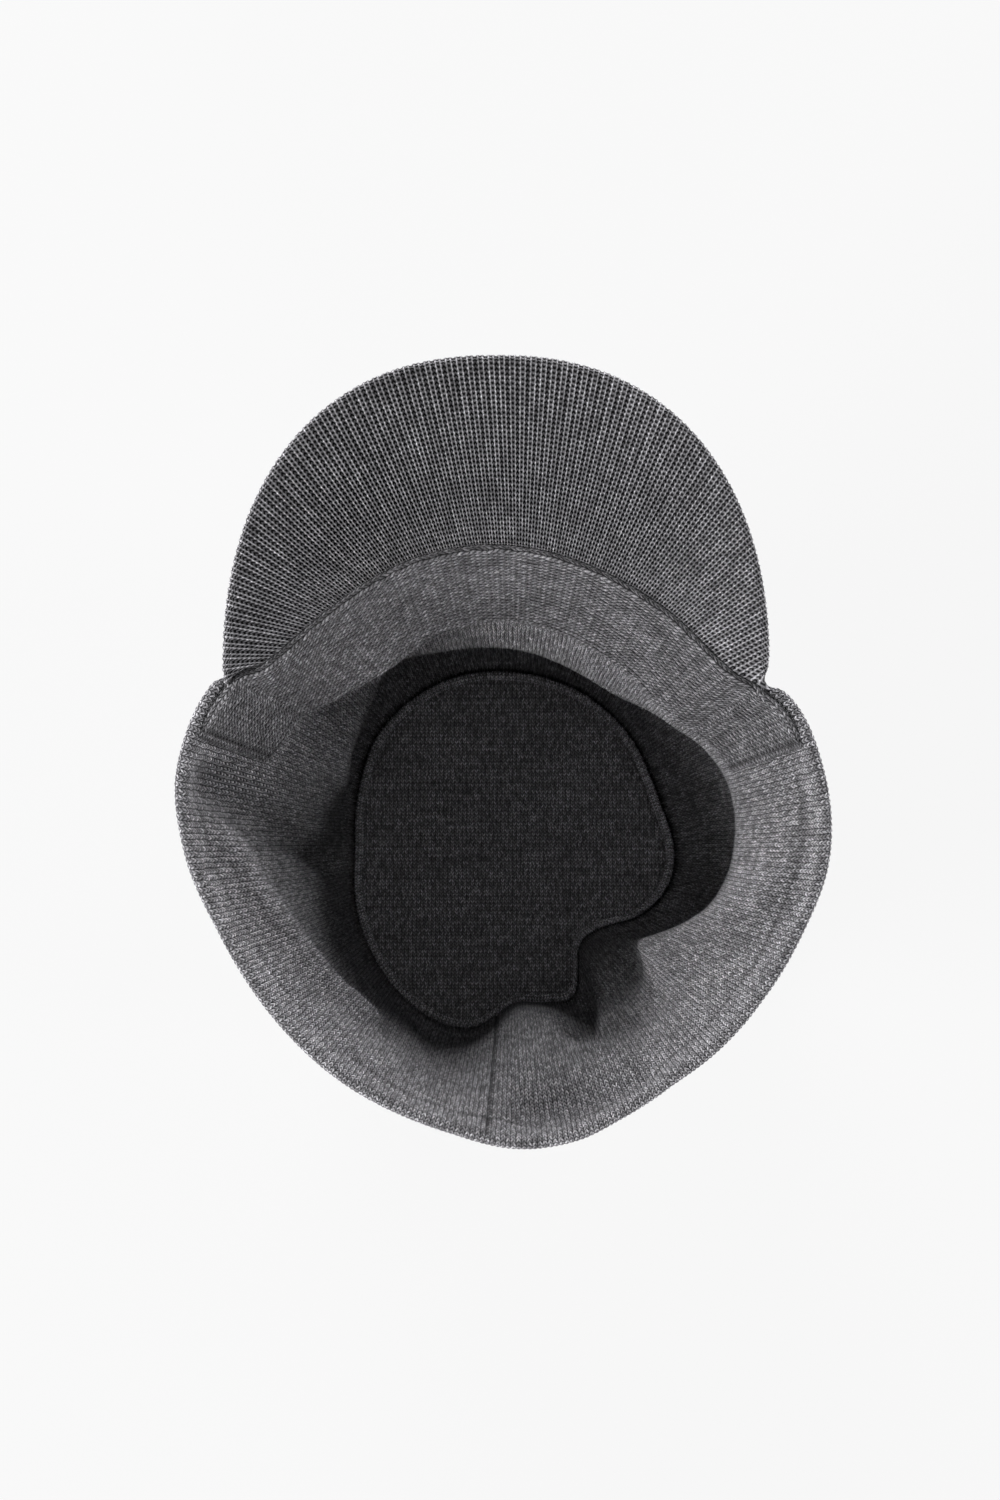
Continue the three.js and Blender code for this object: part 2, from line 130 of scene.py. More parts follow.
WALES = 337                # columns of stitches round the wall
WALE_SAMPLES = 4           # mesh columns for each of them
STITCH_LENGTH = 1.15       # one course along a wale
WALE_RELIEF = 0.3          # depth between two wales
CROWN_WALE = 1.25
BAND_ROW = 1.2             # one row of the band, which run along the peak's seam
BAND_STITCH = 1.4          # one stitch along a row
RIBS = 90                  # ribs of the peak
RIB_SAMPLES = 9
RIB_STITCH = 1.43
RIB_RELIEF = 0.7
RIB_SPLIT_LEFT = 0.2       # from a rib's middle to each of its two legs, at the peak's left corner
RIB_SPLIT_RIGHT = 0.26     # and at its right corner
RIB_SPREAD = 0.075         # share of the seam taken up by the wider ribs at each corner
RIB_SPREAD_REACH = 0.045   # share of the ribs over which they widen
HEM_WIDTH = 7.4            # from the rim to the stitched line of its hem
BACK_SEAM_AT = 185.5       # bearing of the seam down the back
BAND_WELT = 2.1            # width of the band's rolled edge along the peak's seam


# Curves and angles

def smooth_step(share):
    t = np.clip(share, 0, 1)
    return t * t * (3 - 2 * t)


def mix(start, end, share):
    return start + (end - start) * share


def bell(value, width):
    """1 where value is 0, fading out over the width on both sides."""
    return np.exp(-((value / width) ** 2))


def turned(bearing, middle):
    """Bearing from a middle bearing, between -180 and 180."""
    return (bearing - middle + 180) % 360 - 180


def cubic(start, end, slope_start, slope_end, span, share):
    """Smooth curve between two values with the slopes given there."""
    square = share * share
    cube = square * share
    bend = slope_start * (cube - 2 * square + share) + slope_end * (cube - square)
    return mix(start, end, 3 * square - 2 * cube) + span * bend


def section_value(name, bearing):
    """One column of the sections at an array of bearings, on a curve that closes round the cap."""
    column = SECTION_COLUMNS.index(name)
    at = np.array([row[0] for row in SECTIONS], float)
    values = np.array([row[column] for row in SECTIONS], float)
    at = np.concatenate([at[-2:] - 360, at, at[:2] + 360])
    values = np.concatenate([values[-2:], values, values[:2]])
    slopes = np.gradient(values, 1)
    slopes[1:-1] = (values[2:] - values[:-2]) / (at[2:] - at[:-2])
    where = np.asarray(bearing, float) % 360
    index = np.searchsorted(at, where, side="right") - 1
    span = at[index + 1] - at[index]
    share = (where - at[index]) / span
    return cubic(values[index], values[index + 1], slopes[index], slopes[index + 1], span, share)


def oval_radius(width, length, bearing):
    angle = np.radians(bearing)
    return 1 / np.hypot(np.sin(angle) / (width / 2), np.cos(angle) / (length / 2))


def polar_points(bearing, radius, height):
    angle = np.radians(bearing)
    return np.stack([radius * np.sin(angle), radius * np.cos(angle), height], axis=-1)


def row_distances(points):
    """Distances along each row of a grid of points."""
    steps = np.linalg.norm(np.diff(points, axis=1), axis=2)
    return np.concatenate([np.zeros((len(points), 1)), np.cumsum(steps, axis=1)], axis=1)


def at_distances(places, values, distances):
    """Values of each row at the given distances along it."""
    out = np.empty(distances.shape + values.shape[2:])
    for row in range(len(places)):
        for axis in range(values.shape[2]):
            out[row, :, axis] = np.interp(distances[row], places[row], values[row, :, axis])
    return out


# Shape of the wall

PATH_STEPS = 60


def under_peak(bearing):
    """1 where the peak is sewn to the rim, and 0 past its corners."""
    half = (PEAK_RIGHT_CORNER + 360 - PEAK_LEFT_CORNER) / 2
    away = np.abs(turned(bearing, PEAK_RIGHT_CORNER - half))
    return smooth_step((half + CORNER_BLEND - away) / CORNER_BLEND)


def rim_radius(bearing):
    return section_value("rim", bearing) * oval_radius(BODY_WIDTH, BODY_LENGTH, bearing) - RIM_ROLL / 2


def crown_radius(bearing):
    return section_value("ring", bearing) * oval_radius(CROWN_WIDTH, CROWN_LENGTH, bearing)


def crown_lift(bearing):
    return np.maximum(0, section_value("lift", bearing)) * RIM_HEIGHT


def fold_push(bearing, down):
    """How far the folds push the wall into the hollow, at a bearing and a share of the way down."""
    across = math.radians(1) * (BODY_WIDTH + CROWN_WIDTH) / 4
    total = np.zeros(np.broadcast(bearing, down).shape)
    for _, from_at, from_down, to_at, to_down, width, push in FOLDS:
        x = turned(bearing, from_at) * across
        y = (down - from_down) * RIM_HEIGHT
        line = ((to_at - from_at) * across, (to_down - from_down) * RIM_HEIGHT)
        share = np.clip((x * line[0] + y * line[1]) / (line[0] ** 2 + line[1] ** 2), 0, 1)
        distance = np.hypot(x - share * line[0], y - share * line[1])
        total = total + push * RIM_HEIGHT * bell(distance, width * RIM_HEIGHT)
    return total * smooth_step((1 - down) / SEWN_SHARE)


def wall_paths(bearing):
    """Middle lines of the wall from the rim down, as [radius, height], and their directions to
    the right, into the hollow."""
    rim = rim_radius(bearing)
    foot = crown_radius(bearing) + GAP + KNIT_THICKNESS / 2
    knots = [np.stack([rim, np.full_like(rim, RIM_HEIGHT)], axis=-1)]
    for bend in ("brow", "shelf", "belly"):
        out = mix(foot, rim, section_value(bend, bearing))
        fall = section_value(bend + "_fall", bearing)
        knots.append(np.stack([out, RIM_HEIGHT * (1 - fall)], axis=-1))
    knots.append(np.stack([foot, crown_lift(bearing)], axis=-1))
    knots = np.stack(knots, axis=1)
    places = row_distances(knots)
    last = knots.shape[1] - 1
    before = np.maximum(0, np.arange(last + 1) - 1)
    after = np.minimum(last, np.arange(last + 1) + 1)
    slopes = (knots[:, after] - knots[:, before]) / (places[:, after] - places[:, before])[..., None]
    share = np.linspace(0, 1, PATH_STEPS + 1)
    place = places[:, -1:] * share
    index = np.zeros(place.shape, int)
    for knot in range(1, last):
        index += place > places[:, knot:knot + 1]
    row = np.arange(len(bearing))[:, None]
    span = (places[row, index + 1] - places[row, index])[..., None]
    part = (place - places[row, index])[..., None] / span
    ends = (knots[row, index], knots[row, index + 1], slopes[row, index], slopes[row, index + 1])
    path = cubic(*ends, span, part)
    push = fold_push(np.asarray(bearing)[:, None], share[None, :])
    path = path + path_right(path) * push[..., None]
    return path, path_right(path)


def path_right(path):
    """Directions at right angles to each path, to its right."""
    along = np.empty_like(path)
    along[:, 1:-1] = path[:, 2:] - path[:, :-2]
    along[:, 0] = path[:, 1] - path[:, 0]
    along[:, -1] = path[:, -1] - path[:, -2]
    along /= np.linalg.norm(along, axis=2, keepdims=True)
    return np.stack([along[..., 1], -along[..., 0]], axis=-1)


def wall_half(bearing, distance):
    """Half the wall's thickness, which grows to half of the rolled rim."""
    roll = (1 - under_peak(bearing)) * (1 - smooth_step(distance / ROLL_LENGTH))
    return mix(KNIT_THICKNESS, RIM_ROLL, roll) / 2


# Meshes of the pieces

def grid_faces(rows, columns, ring, stitches):
    """Corners and UVs of the four-sided faces of a grid."""
    row_spans = rows if ring[0] else rows - 1
    column_spans = columns if ring[1] else columns - 1
    i, j = np.meshgrid(np.arange(row_spans), np.arange(column_spans), indexing="ij")
    i, j = i.ravel(), j.ravel()
    next_i, next_j = (i + 1) % rows, (j + 1) % columns
    corners = [i * columns + j, next_i * columns + j, next_i * columns + next_j, i * columns + next_j]
    marks = [stitches[i, j], stitches[i + 1, j], stitches[i + 1, j + 1], stitches[i, j + 1]]
    return np.stack(corners, axis=1), np.stack(marks, axis=1)


def cap_faces(row, turn, rows, columns, middle, stitches):
    """Corners and UVs of the fan of triangles between one row of a grid and a middle point."""
    first = row % rows * columns
    corners, marks = [], []
    for a in range(columns):
        b = (a + 1) % columns
        corners.append([middle, first + a, first + b][::turn])
        marks.append([stitches[row, a], stitches[row, a], stitches[row, b]][::turn])
    return np.array(corners), np.array(marks)


def knit_mesh(name, vertices, loops, sizes, marks, shades):
    """A mesh with its stitch UVs and the painted shade of its creases and stitched lines."""
    mesh = bpy.data.meshes.new(name)
    mesh.vertices.add(len(vertices))
    mesh.vertices.foreach_set("co", (vertices * MM).astype(np.float32).ravel())
    mesh.loops.add(len(loops))
    mesh.loops.foreach_set("vertex_index", loops.astype(np.int32))
    mesh.polygons.add(len(sizes))
    mesh.polygons.foreach_set("loop_start", (np.cumsum(sizes) - sizes).astype(np.int32))
    mesh.polygons.foreach_set("use_smooth", np.ones(len(sizes), bool))
    layer = mesh.uv_layers.new(name="stitches")
    layer.data.foreach_set("uv", marks.astype(np.float32).ravel())
    # The crease attribute carries painted shade: how much darker each point's colour is painted in creases
    # and along stitched lines.
    crease = mesh.attributes.new("crease", "FLOAT", "POINT")
    crease.data.foreach_set("value", shades.astype(np.float32))
    mesh.update(calc_edges=True)
    mesh.validate()
    return mesh


def grid_piece(name, points, stitches, material, nodes, ring=(False, False), shade=None, caps=()):
    """One piece from a grid of points in millimetres. stitches holds its UVs, with one more row
    or column where the grid closes on itself. caps lists the rows that a fan of faces closes,
    each with 1 or -1 for the way round."""
    rows, columns = points.shape[:2]
    vertices = points.reshape(-1, 3)
    # The shade given here is painted into the colour: painted shade in creases and along stitched lines.
    shades = np.zeros(len(vertices)) if shade is None else shade.reshape(-1)
    faces = [grid_faces(rows, columns, ring, stitches)]
    for row, turn in caps:
        faces.append(cap_faces(row, turn, rows, columns, len(vertices), stitches))
        vertices = np.concatenate([vertices, points[row].mean(axis=0)[None]])
        shades = np.concatenate([shades, [0.0]])
    loops = np.concatenate([corners.ravel() for corners, _ in faces])
    sizes = np.concatenate([np.full(len(corners), corners.shape[1]) for corners, _ in faces])
    marks = np.concatenate([face_marks.reshape(-1, 2) for _, face_marks in faces])
    mesh = knit_mesh(name, vertices, loops, sizes, marks, shades)
    mesh.materials.append(material)
    piece = bpy.data.objects.new(name, mesh)
    bpy.context.scene.collection.objects.link(piece)
    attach(piece, "root")
    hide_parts(*nodes)
    return piece


# Shader parts

class Shader:
    """A material whose nodes are added one by one. Its methods take numbers or sockets."""

    def __init__(self, name):
        self.material = bpy.data.materials.new(name)
        self.material.use_nodes = True
        self.tree = self.material.node_tree
        self.surface = self.tree.nodes["Principled BSDF"]

    def node(self, kind, values=(), **settings):
        made = self.tree.nodes.new(kind)
        for key, value in settings.items():
            setattr(made, key, value)
        for key, value in dict(values).items():
            self.feed(made.inputs[key], value)
        return made

    def feed(self, socket, value):
        if isinstance(value, bpy.types.NodeSocket):
            self.tree.links.new(value, socket)
        else:
            socket.default_value = value

    def math(self, operation, first, second=0.0, third=0.0):
        made = self.node("ShaderNodeMath", {0: first, 1: second, 2: third}, operation=operation)
        return made.outputs[0]

    def add(self, first, second):
        return self.math("ADD", first, second)

    def times(self, first, second):
        return self.math("MULTIPLY", first, second)

    def less(self, first, second):
        return self.math("SUBTRACT", first, second)

    def fraction(self, value):
        return self.math("FRACT", value)

    def ramp(self, value, low, high, start=0.0, end=1.0):
        """Start up to low, end from high, and smooth between them."""
        made = self.node(
            "ShaderNodeMapRange",
            {"Value": value, "From Min": low, "From Max": high, "To Min": start, "To Max": end},
            interpolation_type="SMOOTHSTEP",
        )
        return made.outputs["Result"]

    def linear(self, value, low, high, start=0.0, end=1.0):
        made = self.node(
            "ShaderNodeMapRange",
            {"Value": value, "From Min": low, "From Max": high, "To Min": start, "To Max": end},
        )
        return made.outputs["Result"]

    def vector(self, x, y, z=0.0):
        return self.node("ShaderNodeCombineXYZ", {"X": x, "Y": y, "Z": z}).outputs[0]

    def random(self, vector):
        made = self.node("ShaderNodeTexWhiteNoise", {"Vector": vector}, noise_dimensions="3D")
        return made.outputs["Value"]

    def noise(self, vector, scale, detail=2.0):
        made = self.node("ShaderNodeTexNoise", {"Vector": vector, "Scale": scale, "Detail": detail})
        return made.outputs["Fac"]

    def stitch_place(self):
        uv = self.node("ShaderNodeUVMap", uv_map="stitches").outputs[0]
        parts = self.node("ShaderNodeSeparateXYZ", {"Vector": uv})
        return parts.outputs["X"], parts.outputs["Y"]

    def bump(self, height, distance, strength=1.0, normal=None):
        values = {"Height": height, "Distance": distance * MM, "Strength": strength}
        if normal is not None:
            values["Normal"] = normal
        return self.node("ShaderNodeBump", values).outputs[0]


KNIT_TINT = (1.0, 0.98, 1.035)
KNIT_ROUGHNESS = 0.94
KNIT_SPECULAR = 0.15
KNIT_SHEEN = 0.06
KNIT_SHEEN_ROUGHNESS = 0.5
NOISE_RANGE = (0.3, 0.7)       # most values of a noise lie between these two
STREAK_TONES = (0.74, 1.26)
BLOTCH_TONES = (0.92, 1.08)
BLOTCH_SCALES = (0.06, 0.09)   # noise steps for one wale and for one course


def knit_finish(shader, tone, height, bump_distance):
    """Colours the knit with a grey tone, makes its surface matt and raises its stitches."""
    colour = shader.node("ShaderNodeCombineColor", {
        "Red": shader.times(tone, KNIT_TINT[0]),
        "Green": shader.times(tone, KNIT_TINT[1]),
        "Blue": shader.times(tone, KNIT_TINT[2]),
    }).outputs[0]
    surface = shader.surface
    shader.feed(surface.inputs["Base Color"], colour)
    surface.inputs["Roughness"].default_value = KNIT_ROUGHNESS
    surface.inputs["Specular IOR Level"].default_value = KNIT_SPECULAR
    surface.inputs["Sheen Weight"].default_value = KNIT_SHEEN
    surface.inputs["Sheen Roughness"].default_value = KNIT_SHEEN_ROUGHNESS
    shader.feed(surface.inputs["Normal"], shader.bump(height, bump_distance))
    return shader.material


def melange(shader, across, along, streak_length):
    """Brightness of a marled yarn: fibres of two greys, in streaks along the courses."""
    streak_place = shader.vector(shader.times(across, 1 / streak_length), along)
    blotch_place = shader.vector(
        shader.times(across, BLOTCH_SCALES[0]), shader.times(along, BLOTCH_SCALES[1]))
    streaks = shader.noise(streak_place, 1.0, 3.0)
    blotches = shader.noise(blotch_place, 1.0, 2.0)
    streak_tone = shader.linear(streaks, *NOISE_RANGE, *STREAK_TONES)
    blotch_tone = shader.linear(blotches, *NOISE_RANGE, *BLOTCH_TONES)
    return shader.times(streak_tone, blotch_tone)


def spread_tone(shader, random, ratio):
    """Turns a number from 0 to 1 into a brightness from 1 / ratio to ratio."""
    return shader.math("POWER", ratio, shader.linear(random, 0, 1, -1, 1))


STITCH_WOBBLE = 0.4        # wales by which the columns wander to each side
WOBBLE_SCALE = 0.4         # noise steps for one wale or course
STITCH_SLANT = 0.85        # courses by which each leg of a stitch climbs
STITCH_MIDDLE = 0.12       # share of a leg hidden where the two legs of a stitch meet
FIBRE_SCALES = (2.3, 4.1)
FIBRE_TONES = (0.5, 1.5)
FIBRE_RELIEF = 0.35        # height of the fibres, as a share of the stitch's
# The tops of the stitches are painted lighter, as painted highlight.
STITCH_TOP_HIGHLIGHT = 1.9
# Tone of the colour where the painted shade of a crease is full.
CREASE_SHADE_TONE = 0.35


def stockinette(name, base, contrast=1.7, streak_length=9.0, gap_shade_tone=0.1, bump_distance=0.55):
    """Plain knit with its V-shaped stitches: U counts wales and V counts courses. The tops of the legs carry
    painted highlight and the gaps between them painted shade.
    """
    shader = Shader(name)
    u, v = shader.stitch_place()
    wobble_place = shader.vector(shader.times(u, WOBBLE_SCALE), shader.times(v, WOBBLE_SCALE))
    wobble = shader.noise(wobble_place, 1.0, 2.0)
    u = shader.add(u, shader.linear(wobble, 0, 1, -STITCH_WOBBLE, STITCH_WOBBLE))
    across = shader.fraction(u)
    side = shader.math("ABSOLUTE", shader.less(shader.times(across, 2), 1))
    slant = shader.less(v, shader.times(side, STITCH_SLANT))
    along = shader.fraction(slant)
    leg_share = shader.linear(side, 0.0, 1.0, STITCH_MIDDLE, 1.0)
    leg_across = shader.math("SINE", shader.times(leg_share, math.pi))
    leg_along = shader.math("SINE", shader.times(along, math.pi))
    rounded = shader.math("POWER", shader.times(shader.ramp(leg_across, 0, 0.8), leg_along), 0.85)
    leg = shader.vector(shader.math("FLOOR", shader.times(u, 2)), shader.math("FLOOR", slant))
    yarn = spread_tone(shader, shader.random(leg), contrast)
    fibre_place = shader.vector(shader.times(u, FIBRE_SCALES[0]), shader.times(v, FIBRE_SCALES[1]))
    fibres = shader.noise(fibre_place, 1.0, 2.0)
    fibre_tone = shader.linear(fibres, *NOISE_RANGE, *FIBRE_TONES)
    tone = shader.times(shader.times(yarn, fibre_tone), melange(shader, u, v, streak_length))
    # Painted highlight on the tops of the legs and painted shade in the gaps between them.
    tone = shader.times(tone, shader.linear(rounded, 0, 1, gap_shade_tone, STITCH_TOP_HIGHLIGHT))
    # Painted shade from the crease attribute: the colour is darker in creases and along stitched lines.
    crease = shader.node("ShaderNodeAttribute", attribute_name="crease").outputs["Fac"]
    tone = shader.times(tone, shader.linear(crease, 0, 1, 1.0, CREASE_SHADE_TONE))
    height = shader.add(rounded, shader.times(fibres, FIBRE_RELIEF))
    return knit_finish(shader, shader.times(tone, base), height, bump_distance)


RIB_LEG_EDGES = (0.035, 0.125)     # where a leg of yarn starts and stops to fall away, in ribs
RIB_SWAY = 0.02
RIB_CHEVRON = 14.0                 # turn by which the bars lean across a channel
RIB_YARN_CONTRAST = 1.35
RIB_FIBRE_SCALES = (6, 3.3)
RIB_FIBRE_TONES = (0.6, 1.4)
RIB_STREAK_LENGTH = 7.0
RIB_BAR_POWER = 1.6                # above 1, the bars are narrower than the holes
# The holes between the bars are painted nearly black, as painted shade.
RIB_HOLE_SHADE_AND_BAR_TONES = (0.02, 1.2)
# The legs are painted light, as painted highlights.
RIB_LEG_HIGHLIGHT_TONES = (1.6, 2.9)
# The legs' light spots are painted highlights.
RIB_LEG_PHASE = 0.9                # turn by which the legs' light spots follow the bars
RIB_BAR_RELIEF = 0.4               # height of the bars, as a share of the legs'
RIB_BUMP = 0.45


def rib_knit(name, base):
    """One by one rib: U counts ribs and V counts courses. Two legs of yarn stand up in each rib.
    Between them, and in the channel to the next rib, bars of yarn cross holes, and the holes are painted
    dark as shade; the legs carry painted highlights."""
    shader = Shader(name)
    u, v = shader.stitch_place()
    across = shader.fraction(u)
    from_middle = shader.math("ABSOLUTE", shader.less(across, 0.5))
    split = shader.linear(u, 0, RIBS, RIB_SPLIT_LEFT, RIB_SPLIT_RIGHT)
    turn = shader.times(v, 2 * math.pi)
    sway = shader.times(shader.math("SINE", turn), RIB_SWAY)
    leg_place = shader.math("ABSOLUTE", shader.add(shader.less(from_middle, split), sway))
    leg = shader.ramp(leg_place, *RIB_LEG_EDGES, 1.0, 0.0)
    in_channel = shader.math("GREATER_THAN", from_middle, split)
    channel_side = shader.less(0.5, from_middle)
    lean = shader.times(shader.times(channel_side, in_channel), RIB_CHEVRON)
    chevron_turn = shader.add(turn, lean)
    bar = shader.linear(shader.math("COSINE", chevron_turn), -1, 1, 0.0, 1.0)
    bar = shader.math("POWER", bar, RIB_BAR_POWER)
    cell = shader.vector(shader.math("FLOOR", shader.times(u, 2)), shader.math("FLOOR", v))
    yarn = spread_tone(shader, shader.random(cell), RIB_YARN_CONTRAST)
    fibre_place = shader.vector(
        shader.times(u, RIB_FIBRE_SCALES[0]), shader.times(v, RIB_FIBRE_SCALES[1]))
    fibres = shader.noise(fibre_place, 1.0, 2.0)
    fibre_tone = shader.linear(fibres, *NOISE_RANGE, *RIB_FIBRE_TONES)
    tone = shader.times(shader.times(yarn, fibre_tone), melange(shader, v, u, RIB_STREAK_LENGTH))
    # Painted shade in the holes and painted highlights on the legs.
    hole_shade_and_bar_tone = shader.linear(bar, 0, 1, *RIB_HOLE_SHADE_AND_BAR_TONES)
    leg_turn = shader.math("COSINE", shader.add(turn, RIB_LEG_PHASE))
    leg_highlight_tone = shader.linear(leg_turn, -1, 1, *RIB_LEG_HIGHLIGHT_TONES)
    lit = shader.add(shader.times(leg, leg_highlight_tone), shader.times(shader.less(1.0, leg), hole_shade_and_bar_tone))
    height = shader.add(leg, shader.times(bar, RIB_BAR_RELIEF))
    return knit_finish(shader, shader.times(shader.times(tone, lit), base), height, RIB_BUMP)


# Wall

INNER_STEP = 0.8           # between the first rows down the wall's inner face
INNER_NEAR_ROWS = 14
INNER_FAR_ROWS = 26        # the rows after them, spread evenly down to the foot
OUTER_STEP = 1.5
OUTER_NEAR_ROWS = 5
OUTER_FAR_ROWS = 18
ROLL_SIDES = 8
ROLL_CLOTH = 1.4           # cloth that goes round the rolled rim, as a share of its thickness
HEM_LINE = 0.55            # width of the hem's stitched line
HEM_DEPTH = 0.35
# Painted shade along the hem's stitched line.
HEM_SHADE = 0.55
BACK_SEAM_RADIUS = 70      # its usual distance from the middle of the cap
BACK_SEAM_LINE = 0.6
BACK_SEAM_DEPTH = 0.8
BACK_WELT_AT = 1.6         # from the seam to the low welt on each side of it
BACK_WELT_LINE = 0.7
BACK_WELT_HEIGHT = 0.35


def wale_height(count_place):
    """0 between two wales and 1 on the middle of one."""
    return np.abs(np.sin(np.pi * count_place))


def round_end(centre, right, half, side, outward, sides):
    """Points round the end of a strip, turning from its face on the given side of the middle
    line: 1 for the right. outward is 1 at the line's end and -1 at its start."""
    out = np.stack([-right[:, 1], right[:, 0]], axis=-1) * outward
    points = []
    for angle in np.radians(np.arange(1, sides) * 180 / sides):
        points.append(centre + half * (side * right * math.cos(angle) + out * math.sin(angle)))
    return np.stack(points, axis=1)


def wall_features(bearing, distance):
    """Depth in millimetres of the stitched lines on the wall's inner face, and the painted shade in their
    grooves.
    """
    hem = bell(distance - HEM_WIDTH, HEM_LINE) * (1 - under_peak(bearing))
    across = np.radians(turned(bearing, BACK_SEAM_AT)) * BACK_SEAM_RADIUS
    seam = bell(across, BACK_SEAM_LINE)
    welt = bell(np.abs(across) - BACK_WELT_AT, BACK_WELT_LINE)
    depth = HEM_DEPTH * hem + BACK_SEAM_DEPTH * seam - BACK_WELT_HEIGHT * welt
    # The hem line and the back seam's groove are painted darker, as painted shade.
    return depth, np.clip(HEM_SHADE * hem + seam, 0, 1)


def rows_down(step, near_rows, far_rows, end):
    """Distances down the wall: a few even steps from the rim, and then more rows to its foot."""
    near = np.arange(near_rows) * step
    far_share = np.linspace(0, 1, far_rows + 1)[1:]
    far = mix(near[-1], end[:, None], far_share[None])
    return np.concatenate([np.repeat(near[None], len(end), 0), far], axis=1)


def wall_face(bearing, along, places, paths, rights, side, inset):
    """Points on one face of the wall, 1 for the inner and -1 for the outer one."""
    middle = at_distances(places, paths, along)
    right = at_distances(places, rights, along)
    right /= np.linalg.norm(right, axis=2, keepdims=True)
    right[:, -1] = (-1, 0)
    half = wall_half(bearing[:, None], along)
    return middle + side * right * (half - inset)[..., None]


def rim_roll(bearing, start, places, paths, rights, inset):
    """Points round the rolled rim, from the wall's inner face to its outer one."""
    centre = at_distances(places, paths, start[:, None])[:, 0]
    right = at_distances(places, rights, start[:, None])[:, 0]
    half = (wall_half(bearing, start) - inset[:, 0])[:, None]
    return round_end(centre, right, half, 1, -1, ROLL_SIDES)


def make_wall():
    columns = WALES * WALE_SAMPLES
    bearing = np.arange(columns) * 360 / columns
    paths, rights = wall_paths(bearing)
    places = row_distances(paths)
    start = PEAK_TUCK * under_peak(bearing)
    end = places[:, -1] - start
    inner = rows_down(INNER_STEP, INNER_NEAR_ROWS, INNER_FAR_ROWS, end)
    outer = rows_down(OUTER_STEP, OUTER_NEAR_ROWS, OUTER_FAR_ROWS, end)
    wales = np.arange(columns) / WALE_SAMPLES
    relief = WALE_RELIEF * (1 - wale_height(wales))[:, None]
    depth, inner_shade = wall_features(bearing[:, None], inner)
    inside = wall_face(bearing, inner + start[:, None], places, paths, rights, 1, relief + depth)
    roll = rim_roll(bearing, start, places, paths, rights, relief)
    outside = wall_face(bearing, outer + start[:, None], places, paths, rights, -1, relief)
    outline = np.concatenate([inside[:, ::-1], roll, outside], axis=1)
    points = polar_points(bearing[:, None], outline[..., 0], outline[..., 1])
    roll_cloth = RIM_ROLL * ROLL_CLOTH
    roll_place = np.linspace(0, 1, ROLL_SIDES + 1)[1:-1] * roll_cloth
    down = np.concatenate([
        -inner[:, ::-1],
        np.repeat(roll_place[None], columns, 0),
        outer + roll_cloth,
    ], axis=1)
    down = np.concatenate([down, down[:, -1:] + KNIT_THICKNESS], axis=1) / STITCH_LENGTH
    down = np.concatenate([down, down[:1]], axis=0)
    across = np.arange(columns + 1)[:, None] / WALE_SAMPLES + np.zeros_like(down)
    shade = np.zeros(outline.shape[:2])
    shade[:, :inner_shade.shape[1]] = inner_shade[:, ::-1]
    return grid_piece(
        "wall_knit", points, np.stack([across, down], axis=-1), MATERIALS["wall"],
        ["crown_wall"], ring=(True, True), shade=shade)


# Crown and its seam

CROWN_RINGS = 34
CROWN_COLUMNS = 360
CROWN_FLAT_SHARE = 0.35
CROWN_OVERLAP = 0.9        # how far the sewn edge of the crown reaches into the wall's seam
CROWN_FIRST_SHARE = 0.001  # radius of the innermost ring of points, as a share
CROWN_SWELL = 0.25         # height of the low waves in its cloth
CROWN_WAVES = (9, 13)      # their lengths across and along the cap, for one radian
CROWN_PHASES = (1.3, 0.4)
CROWN_SWELL_END = 0.9      # share of the radius at which they have died out
CROWN_SWELL_FADE = 0.2


def crown_height(bearing, share):
    return crown_lift(bearing) * smooth_step((share - CROWN_FLAT_SHARE) / (1 - CROWN_FLAT_SHARE))


def make_crown():
    bearing = np.arange(CROWN_COLUMNS) * 360 / CROWN_COLUMNS
    share = np.linspace(CROWN_FIRST_SHARE, 1, CROWN_RINGS)
    radius = crown_radius(bearing)[:, None] * share
    radius[:, -1] += CROWN_OVERLAP
    height = crown_height(bearing[:, None], share[None])
    low = polar_points(bearing[:, None], radius, height)
    x, y = low[..., 0], low[..., 1]
    swell = CROWN_SWELL * np.sin(x / CROWN_WAVES[0] + CROWN_PHASES[0])
    swell = swell * np.sin(y / CROWN_WAVES[1] + CROWN_PHASES[1])
    swell = swell * smooth_step((CROWN_SWELL_END - share) / CROWN_SWELL_FADE)
    thickness = KNIT_THICKNESS - CROWN_SWELL + swell
    top = low + np.stack([np.zeros_like(x), np.zeros_like(x), thickness], axis=-1)
    points = np.concatenate([low, top[:, ::-1]], axis=1)
    flat = points[..., :2] / (CROWN_WALE, STITCH_LENGTH)
    flat = np.concatenate([flat, flat[:, :1]], axis=1)
    flat = np.concatenate([flat, flat[:1]], axis=0)
    return grid_piece(
        "crown_knit", points, flat, MATERIALS["crown"], ["crown_top"], ring=(True, True))


SEAM_COLUMNS = 1200
SEAM_SIDES = 12
SEAM_STITCHES = 300
SEAM_COURSES = 8           # courses of stitches round the ridge
SEAM_NICK = 0.16           # depth of the nicks between its stitches, as a share of its radius
SEAM_SHIFT = 0.7           # how far the ridge lies against the wall


